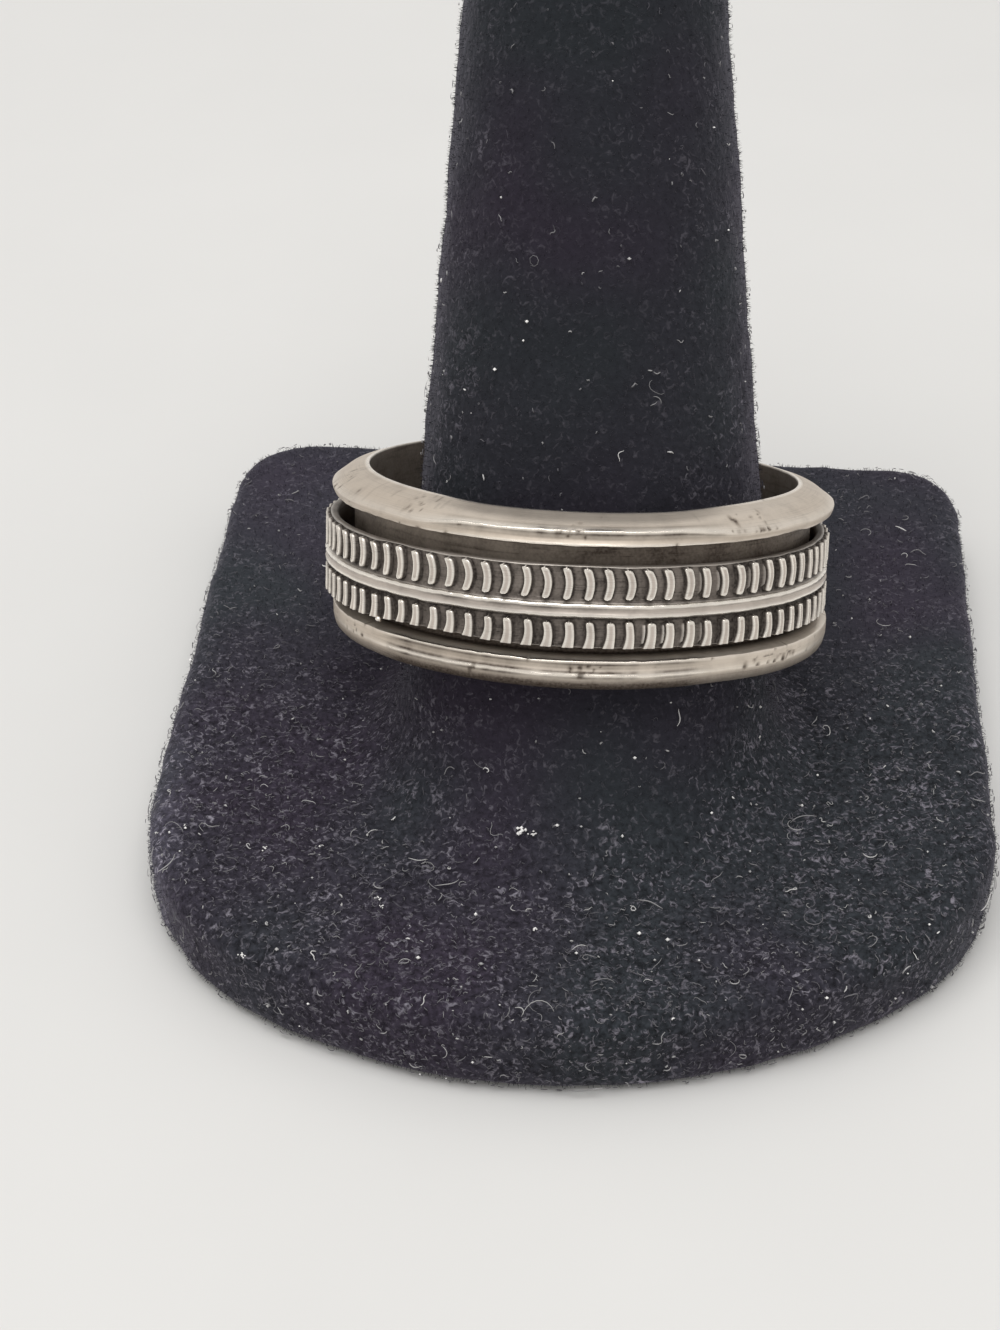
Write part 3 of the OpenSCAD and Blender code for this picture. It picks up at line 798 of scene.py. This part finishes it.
# Finger surface round the ring's axis: the radius falls evenly with height and closes to a
# round tip. At its foot it sweeps out in a quarter circle, wide in front and tight behind,
# so each column starts level with the board wherever its own line meets it.
def standFinger(p):
    turn = roundSteps(p["fingerAround"])
    slope = math.tan(math.radians(p["taper"]))
    bigR = p["fingerR"] - p["pileDepth"]
    c, s = math.cos(lean), math.sin(lean)
    floorZ = baseTop - p["pileDepth"] - 0.03 - ringMiddle[2]
    sweep = p["footBack"] + (p["footFront"] - p["footBack"]) * (0.5 + 0.5 * np.cos(turn)) ** 0.35

    # place along the axis where a column, standing out by reach, is at a height over the board
    def alongAt(height, reach):
        return (height + floorZ - (bigR + reach) * s * np.cos(turn)) / (c - slope * s * np.cos(turn))

    a = np.radians(np.linspace(0, 90, 12))[None]
    reach, height = sweep * (1 - np.sin(a)), sweep * (1 - np.cos(a))
    foot = alongAt(height, reach)
    shoulder = p["fingerLen"] - p["tipLen"]
    t = np.linspace(0, 1, 130)[None, 1:]
    body = foot[:, -1:] * (1 - t) + shoulder * t
    tip = np.radians(np.linspace(0, 88.5, 14))[None, 1:]
    shoulderR = bigR - shoulder * slope
    hidden = (baseTop / 2 - ringMiddle[2]) / c + 0 * turn
    along = np.concatenate([hidden, foot, body, shoulder + p["tipLen"] * np.sin(tip) + 0 * turn], 1)
    r = np.concatenate([0.1 + 0 * turn, bigR - foot * slope + reach, bigR - body * slope,
                        shoulderR * np.cos(tip) + 0 * turn], 1)
    grid = atAngle(r, turn, along)
    lump = ripples(grid, 3.2, 12, p["seed"] + 5) + 0.45 * ripples(grid, 1.0, 12, p["seed"] + 6)
    wobble = ripples(grid * [1, 1, 0.25], 7.0, 6, p["seed"] + 7)
    # the foot's first rows follow the board's lumps, and the finger's own grow above them
    ownLumps = np.clip((np.arange(grid.shape[1]) - 8) / 8, 0, 1)
    lump = (p["fingerLumps"] * lump + p["fingerWobble"] * wobble) * ownLumps
    grid = grid + gridNormals(grid) * lump[..., None]
    grid[..., 0] += np.clip(p["sideShift"] - p["sideSlope"] * grid[..., 2], *p["sideEnds"])
    grid = onRingAxis(grid)
    onBoard = grid * [1, 1, 0] + [0, 0, baseTop - p["pileDepth"]]
    grid[..., 2] += 0.5 * boardLumps(p, onBoard) * (1 - ownLumps)
    return surfacePiece("fingerVelvet", grid, velvetFields(grid), False), grid


# Random places on a surface grid: a cell picked by its area times the chance there, a spot in
# it, and the normal.
def scatter(grid, count, rng, keep):
    a, b, d = grid[:, :-1], np.roll(grid, -1, 0)[:, :-1], grid[:, 1:]
    across, up = b - a, d - a
    cross = np.cross(across, up)
    area = np.linalg.norm(cross, axis=-1) * keep(a)
    chance = np.cumsum(area.ravel())
    cell = np.searchsorted(chance, rng.uniform(0, chance[-1], count))
    i, j = np.unravel_index(np.minimum(cell, area.size - 1), area.shape)
    f, g = rng.uniform(0, 1, (2, count, 1))
    return a[i, j] + across[i, j] * f + up[i, j] * g, unit(cross[i, j])


# The same over several surfaces, each given as its grid, a count and a chance.
def scatterOver(surfaces, rng):
    parts = [scatter(grid, count, rng, keep) for grid, count, keep in surfaces]
    return [np.concatenate(part) for part in zip(*parts)]


# Two directions in the surface for each normal.
def tangents(normal):
    helper = np.where(np.abs(normal[:, 2:3]) < 0.8, [[0, 0, 1.0]], [[1.0, 0, 0]])
    first = unit(np.cross(helper, normal))
    return first, np.cross(normal, first)


# A small mesh's faces repeated for each copy of its points.
def repeated(faces, count, pointsEach):
    faces = np.array(faces)
    return (faces[None] + np.arange(count)[:, None, None] * pointsEach).reshape(-1, faces.shape[1])


# Velvet pile: a closed three-sided spike for each tuft, standing on the surface and leaning.
def velvetPile(name, grid, count, p, seed, keep):
    rng = np.random.default_rng(seed)
    place, normal = scatter(grid, count, rng, keep)
    first, second = tangents(normal)
    tall = rng.uniform(*p["length"], (count, 1))
    sway = first * rng.normal(0, p["sway"], (count, 1)) + second * rng.normal(0, p["sway"], (count, 1))
    turn = rng.uniform(0, 2 * math.pi, (count, 1))
    foot = place - normal * p["rooted"]
    corners = [foot + p["footR"] * (first * np.cos(turn + a) + second * np.sin(turn + a))
               for a in np.radians([0, 120, 240])]
    points = np.stack(corners + [place + (normal + sway) * tall], 1).reshape(-1, 3)
    points[:, 2] = np.maximum(points[:, 2], 0.01)
    faces = repeated([[0, 1, 3], [1, 2, 3], [2, 0, 3], [2, 1, 0]], count, 4)
    return meshObject(name, points, [faces], velvetFields(points), False)


# Lint: each fibre is a thin three-sided tube along a curl that lies in the surface. Its
# heading turns evenly plus a slow swing, and it floats a little over the pile.
def lintFibres(name, surfaces, p):
    rng = np.random.default_rng(p["seed"])
    place, normal = scatterOver(surfaces, rng)
    count, steps = len(place), p["steps"]
    first, second = tangents(normal)
    t = np.linspace(0, 1, steps)[None]
    length = p["length"][0] * (p["length"][1] / p["length"][0]) ** rng.beta(1.2, 2.6, (count, 1))
    heading = rng.uniform(0, 2 * math.pi, (count, 1)) + rng.normal(0, p["bend"], (count, 1)) * t \
        + rng.normal(0, 0.7, (count, 1)) * np.sin(2 * math.pi * t * rng.uniform(0.5, 1.4, (count, 1)))
    stepLength = length / (steps - 1)
    x, y = np.cumsum(np.cos(heading) * stepLength, 1), np.cumsum(np.sin(heading) * stepLength, 1)
    height = rng.uniform(*p["lift"], (count, 1)) \
        + 0.10 * length * np.sin(math.pi * t) * rng.uniform(0, 1, (count, 1))
    spine = place[:, None] + first[:, None] * x[..., None] + second[:, None] * y[..., None] \
        + normal[:, None] * height[..., None]
    along = unit(np.gradient(spine, axis=1))
    wide = unit(np.cross(along, normal[:, None]))
    high = np.cross(wide, along)
    taper = np.sin(math.pi * np.clip(t, 0.06, 0.94))[..., None] ** 0.3
    thick = p["thick"] * rng.uniform(0.6, 1.35, (count, 1, 1)) * taper
    tube = np.stack([spine + thick / 2 * (wide * math.cos(a) + high * math.sin(a))
                     for a in np.radians([90, 210, 330])], 2)
    number = np.arange(count * steps * 3).reshape(count, steps, 3)
    nextCorner = np.roll(number, -1, 2)
    quads = np.stack([number[:, :-1], nextCorner[:, :-1], nextCorner[:, 1:], number[:, 1:]], -1)
    ends = np.concatenate([number[:, 0, ::-1], number[:, -1]])
    tone = np.clip(rng.gamma(*p["tone"], (count, 1, 1)), 0.0, 1.0) * np.ones((1, steps, 3))
    points = tube.reshape(-1, 3)
    points[:, 2] = np.maximum(points[:, 2], 0.02)
    return meshObject(name, points, [quads.reshape(-1, 4), ends], dict(tone=tone.ravel()))


# Grains: eight-sided, each corner at its place plus its own radius along an axis.
def grainMesh(name, place, radius, tone):
    star = np.array([[1, 0, 0], [0, 1, 0], [-1, 0, 0], [0, -1, 0], [0, 0, 1], [0, 0, -1]], float)
    points = (place[:, None] + star * radius).reshape(-1, 3)
    faces = repeated([[0, 1, 4], [1, 2, 4], [2, 3, 4], [3, 0, 4],
                      [1, 0, 5], [2, 1, 5], [3, 2, 5], [0, 3, 5]], len(place), len(star))
    return meshObject(name, points, [faces], dict(tone=np.repeat(tone, len(star))))


# Dust: single grains scattered on the pile.
def dustGrains(name, surfaces, p):
    rng = np.random.default_rng(p["seed"])
    place, normal = scatterOver(surfaces, rng)
    count = len(place)
    radius = rng.uniform(*p["size"], (count, 1, 1)) * rng.uniform(0.7, 1.3, (count, 6, 1))
    tone = np.clip(rng.gamma(*p["tone"], count), 0.2, 1.0)
    return grainMesh(name, place + normal * p["lift"], radius, tone)


# Crumbs of white fluff on the board: a small heap of grains round each crumb's place.
def fluffCrumbs(name, p):
    rng = np.random.default_rng(p["seed"])
    heap = np.repeat(np.array(p["crumbs"]), p["grains"], 0)
    size = heap[:, 3:]
    place = heap[:, :3] + [0, 0, baseTop] + rng.normal(0, 1, (len(heap), 3)) * size * p["spread"]
    radius = size[:, None] * rng.uniform(*p["grain"], (len(heap), 6, 1))
    return grainMesh(name, place, radius, np.ones(len(heap)))


# Cast and rolled silver, worn by years of turning: satin bright where it is touched, brown
# sulphide tarnish where it isn't, which scatters light as a dull film, and hairlines that
# mostly run round the band. The tarnish field also carries painted shade, and the brighter
# colour of the field of wear also paints highlights.
def wornSilver(name, bright, polishedAndHighlight, tarnishAndShade, roughness, scratchDepth):
    material, tree = newMaterial(name)
    field, edges = meshField(tree, "tarnishAndShade"), meshField(tree, "worn")
    place = objectPlace(tree)
    bandMap = addNode(tree, "ShaderNodeUVMap", uv_map="bandMap").outputs["UV"]
    cloud = noise(tree, place, 900.0, 6.0, Roughness=0.65)
    fine = noise(tree, place, 8000.0, 3.0)
    # hairlines about 4 mm long and 0.05 mm across, and a few that slant
    hair = noise(tree, stretched(tree, bandMap, (0.28, 18.0, 1.0)), 1.0, 4.0, Roughness=0.6)
    slanting = noise(tree, stretched(tree, bandMap, (0.5, 14.0, 1.0), (0, 0, 1.1)), 1.0, 3.0)
    # clouds of thin tarnish, and streaks of it that follow the hairlines
    haze = remap(tree, cloud, 0.45, 0.75, 0.0, 0.20)
    streak = remap(tree, hair, 0.52, 0.72, 0.0, 0.22)
    amount = combine(tree, "ADD", field, combine(tree, "ADD", haze, streak), clamp=True)
    film = combine(tree, "MULTIPLY", amount, remap(tree, fine, 0.3, 0.7, 0.84, 1.0), clamp=True)
    metal = mixColour(tree, edges, toLinear(bright), toLinear(polishedAndHighlight))
    satin = remap(tree, edges, toLow=roughness[1], toHigh=roughness[0])
    bare = remap(tree, edges, toLow=0.6, toHigh=1.0)
    clean = remap(tree, film, 0.2, 1.0, 1.0, 0.5)
    lines = combine(tree, "SUBTRACT", hair, remap(tree, slanting, 0.62, 0.75))
    return endMaterial(material, {
        "Base Color": mixColour(tree, film, metal, toLinear(tarnishAndShade)),
        "Metallic": combine(tree, "MULTIPLY", bare, clean),
        "Roughness": combine(tree, "MULTIPLY_ADD", film, 0.12, satin),
        "Specular IOR Level": 0.25,
        "Normal": bumpNormal(tree, combine(tree, "ADD", lines, fine), scratchDepth)})


# Black rayon velvet: matt and almost black looked straight into the pile, paler where the
# pile is seen from its side. Crushed tufts turn up as pale specks 0.2 to 0.4 mm long, denser
# in some places than in others, with a faint plum or green cast in patches. The shade field
# paints shade and sheen into its colour, darker in some places and lighter in others.
def blackVelvet(name, plum, green, speck, sheen):
    material, tree = newMaterial(name)
    place, shade, nap = objectPlace(tree), meshField(tree, "shade"), meshField(tree, "nap")
    patch = noise(tree, place, 90.0, 1.0)
    crowd = noise(tree, place, 420.0, 3.0)
    tufts = noise(tree, place, 3600.0, 3.0, Roughness=0.6)
    turned = noise(tree, place, 2900.0, 3.5, Roughness=0.6, Distortion=1.1)
    hue = mixColour(tree, remap(tree, patch, 0.35, 0.62), toLinear(plum), toLinear(green))
    # light and dark among the tufts, evened out where the nap is smooth
    depth = remap(tree, tufts, 0.32, 0.68, 0.45, 1.5)
    evened = mixColour(tree, nap, (1.25, 1.25, 1.25, 1.0), depth)
    ground = mixColour(tree, 1.0, hue, evened, "MULTIPLY")
    ruffled = combine(tree, "MULTIPLY", remap(tree, crowd, 0.36, 0.62, 0.25, 1.0), nap)
    specks = combine(tree, "MULTIPLY", remap(tree, turned, 0.545, 0.70), ruffled)
    colour = mixColour(tree, specks, ground, toLinear(speck))
    # the shade field runs from -4, painted sheen and pale, to 1, painted shade and dark
    light = remap(tree, shade, -4.0, 1.0, 2.61, 0.68)
    return endMaterial(material, {
        "Base Color": mixColour(tree, 1.0, colour, light, "MULTIPLY"),
        "Roughness": 0.95, "Specular IOR Level": 0.1,
        "Normal": bumpNormal(tree, combine(tree, "ADD", tufts, specks), 0.06),
        "Sheen Weight": sheen, "Sheen Roughness": 0.4, "Sheen Tint": toLinear("#b9b4c2")})


# Cotton and paper lint caught on the pile: soft greys, a few bits nearly white.
def paleLint(name):
    material, tree = newMaterial(name)
    colour = mixColour(tree, meshField(tree, "tone"), toLinear("#45434b"), toLinear("#f6f4f2"))
    return endMaterial(material, {"Base Color": colour, "Roughness": 0.8})


# Uncoated pale paper: warm white with the faintest mottle.
def palePaper(name):
    material, tree = newMaterial(name)
    mottle = noise(tree, objectPlace(tree), 60.0, 5.0)
    colour = mixColour(tree, mottle, toLinear("#d8d7d5"), toLinear("#dddcda"))
    return endMaterial(material, {"Base Color": colour, "Roughness": 0.9, "Specular IOR Level": 0.2})


# Camera and lights come first, then the pieces.
# The view is the photograph's: the camera looks down on the table and a little to the left.
# The ring's middle lies right, up and away by these lengths in the camera's own directions.
cameraSet = dict(down=38.0, left=3.4, ringRight=3.94, ringUp=5.70, ringAway=126.8, lens=70.57)


def makeCamera(p):
    down, left = math.radians(p["down"]), math.radians(p["left"])
    right = np.array([math.cos(left), math.sin(left), 0])
    level = math.cos(down)
    forward = np.array([-math.sin(left) * level, math.cos(left) * level, -math.sin(down)])
    up = np.cross(right, forward)
    place = ringMiddle - right * p["ringRight"] - up * p["ringUp"] - forward * p["ringAway"]
    data = bpy.data.cameras.new("camera")
    data.sensor_width = 36
    data.lens = p["lens"]
    data.clip_start, data.clip_end = 0.005, 10
    camera = bpy.data.objects.new("camera", data)
    camera.location = place * mm
    camera.rotation_euler = (math.pi / 2 - down, 0, left)
    bpy.context.scene.collection.objects.link(camera)
    bpy.context.scene.camera = camera


# A paper table, a pale room and one soft box over the front of the stand. Lengths in metres,
# power in watts.
stage = dict(floorHalf=2, room="#fcfbf9", roomStrength=0.70,
             lamp=(-0.035, -0.10, 0.46), lampSize=(0.46, 0.32), lampPower=1.35)


# A soft box at a place, turned to face the ring's middle.
def softBox(name, place, size, power):
    light = bpy.data.lights.new(name, "AREA")
    light.shape = "RECTANGLE"
    light.size, light.size_y = size
    light.energy = power
    lamp = bpy.data.objects.new(name, light)
    lamp.location = place
    aim = np.array(ringMiddle) * mm - np.array(place)
    aim /= np.linalg.norm(aim)
    lamp.rotation_euler = (math.acos(-aim[2]), 0, math.atan2(-aim[0], aim[1]))
    bpy.context.scene.collection.objects.link(lamp)


def makeStage(p):
    corners = np.array([[-1, -1, 0], [1, -1, 0], [1, 1, 0], [-1, 1, 0]]) * p["floorHalf"]
    floor = meshObject("paperTable", corners / mm, [np.array([[0, 1, 2, 3]])], None, False)
    floor.data.materials.append(palePaper("pale paper"))
    world = bpy.data.worlds.new("room")
    world.use_nodes = True
    tree = world.node_tree
    tree.nodes.clear()
    glow = dict(Color=toLinear(p["room"]), Strength=p["roomStrength"])
    sky = addNode(tree, "ShaderNodeBackground", glow)
    addNode(tree, "ShaderNodeOutputWorld", dict(Surface=sky.outputs["Background"]))
    bpy.context.scene.world = world
    softBox("softAbove", p["lamp"], p["lampSize"], p["lampPower"])


makeCamera(cameraSet)
makeStage(stage)
bpy.context.scene.view_settings.view_transform = "Standard"
print("camera and stage ready")

# silver: bright, polished (also painted highlight) and tarnished (also painted shade) colour,
# least and most roughness, scratch depth in mm
silver = wornSilver("satin silver", "#d0c3b4", "#fff6ea", "#3d3129", (0.22, 0.42), 0.003)
patternedSilver = wornSilver("patterned silver", "#c4b8ae", "#fff8ee", "#1a130f", (0.22, 0.42), 0.002)
# velvet: plum and green cast, specks, sheen
velvetLook = ("#2f2a34", "#2a2d31", "#8a8690", 0.32)
velvetBoard = blackVelvet("black velvet of the board", *velvetLook)
velvetFinger = blackVelvet("black velvet of the finger", *velvetLook)
lint = paleLint("pale lint")

core = ringBand(ring)
core.data.materials.append(silver)
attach(core, "stand")
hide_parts("ring_band")
print("ring core ready")

pattern = spinnerBand(spin)
pattern.data.materials.append(patternedSilver)
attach(pattern, "spinner")
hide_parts("spinner_band")
drop = castBead(bead)
drop.data.materials.append(patternedSilver)
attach(drop, "spinner")
print("spinner ready")

board, boardGrid = standBoard(stand)
board.data.materials.append(velvetBoard)
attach(board, "stand")
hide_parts("stand_base")

finger, fingerGrid = standFinger(stand)
finger.data.materials.append(velvetFinger)
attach(finger, "stand")
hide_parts("stand_finger")
print("stand ready")

# Tufts: counts, length from root to tip, lean, root's depth, and the foot's radius, in mm.
pile = dict(boardTufts=36000, fingerTufts=30000, length=(0.07, 0.24), sway=0.45, rooted=0.03,
            footR=0.034 * 0.58, boardSeed=61, fingerSeed=62)


# Chance of fibres on the board: none underneath, and none under the finger.
def boardKeep(points):
    underFinger = np.hypot(points[..., 0] / 9.0, (points[..., 1] - ringMiddle[1] + 3.6) / 9.8) < 1
    return (points[..., 2] > 0.25) & ~underFinger


# Chance of fibres on the finger: none below the board.
def fingerKeep(points):
    return points[..., 2] > baseTop + 0.02


boardPile = velvetPile("boardPile", boardGrid, pile["boardTufts"], pile, pile["boardSeed"], boardKeep)
boardPile.data.materials.append(velvetBoard)
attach(boardPile, "stand")
fingerPile = velvetPile("fingerPile", fingerGrid, pile["fingerTufts"], pile, pile["fingerSeed"],
                        fingerKeep)
fingerPile.data.materials.append(velvetFinger)
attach(fingerPile, "stand")

# Fine curled fibres of the pile itself, looser lint, short bits and dust. Board and finger
# are counts; lengths, thickness and lift are in mm.
curls = dict(board=3700, finger=600, steps=5, length=(0.18, 0.75), thick=0.045, lift=(0.10, 0.20),
             bend=2.2, tone=(1.3, 0.065), seed=67)
loose = dict(board=330, finger=70, steps=9, length=(0.35, 2.2), thick=0.055, lift=(0.14, 0.26),
             bend=2.6, tone=(2.2, 0.14), seed=71)
bits = dict(board=210, finger=260, steps=4, length=(0.12, 0.42), thick=0.085, lift=(0.12, 0.2),
            bend=1.2, tone=(1.8, 0.17), seed=79)
dust = dict(board=120, finger=85, size=(0.03, 0.11), lift=0.16, tone=(3, 0.25), seed=83)

# White crumbs: place of each, with its height above the board's top, and its size. The first
# two lie on the sweep of the finger's foot.
fluff = dict(crumbs=[(-2.1, -11.95, 1.62, 0.2), (-1.65, -12.05, 1.55, 0.1), (-1.2, -16.9, 0.08, 0.1),
                     (-14.1, -12.2, 0.08, 0.08), (-14.2, -19.3, 0.08, 0.09), (-8.5, -15.3, 0.08, 0.08),
                     (-8.3, -15.8, 0.08, 0.07)],
             grains=7, spread=(0.9, 0.7, 0.3), grain=(0.35, 0.75), seed=97)


# Lint gathers where the board is handled: thickest along its curved front.
def lintOnBoard(points):
    return boardKeep(points) * (0.45 + 1.0 * np.clip((-points[..., 1] + 4) / 22, 0, 1))


# And low on the finger more than near its tip.
def lintOnFinger(points):
    return fingerKeep(points) * (0.5 + 0.8 * np.exp(-(points[..., 2] - baseTop) / 14))


# Curled tufts stand where the nap is ruffled.
def boardNap(points):
    return boardKeep(points) * velvetNap(points)


def fingerNap(points):
    return fingerKeep(points) * velvetNap(points)


# The board and the finger as surfaces to scatter on: grid, count and chance of each.
def bothOf(p, boardChance, fingerChance):
    return [(boardGrid, p["board"], boardChance), (fingerGrid, p["finger"], fingerChance)]


# Gives a piece of lint its material, body and slot.
def addLint(piece):
    piece.data.materials.append(lint)
    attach(piece, "stand")


onBoard, onFinger = bothOf(curls, boardNap, fingerNap)
addLint(lintFibres("boardCurls", [onBoard], curls))
addLint(lintFibres("fingerCurls", [onFinger], dict(curls, seed=curls["seed"] + 1)))
addLint(lintFibres("lintFibres", bothOf(loose, lintOnBoard, lintOnFinger), loose))
addLint(lintFibres("shortBits", bothOf(bits, lintOnBoard, fingerKeep), bits))
addLint(dustGrains("dustGrains", bothOf(dust, lintOnBoard, lintOnFinger), dust))
addLint(fluffCrumbs("fluffCrumbs", fluff))
print("pile, lint and dust ready")
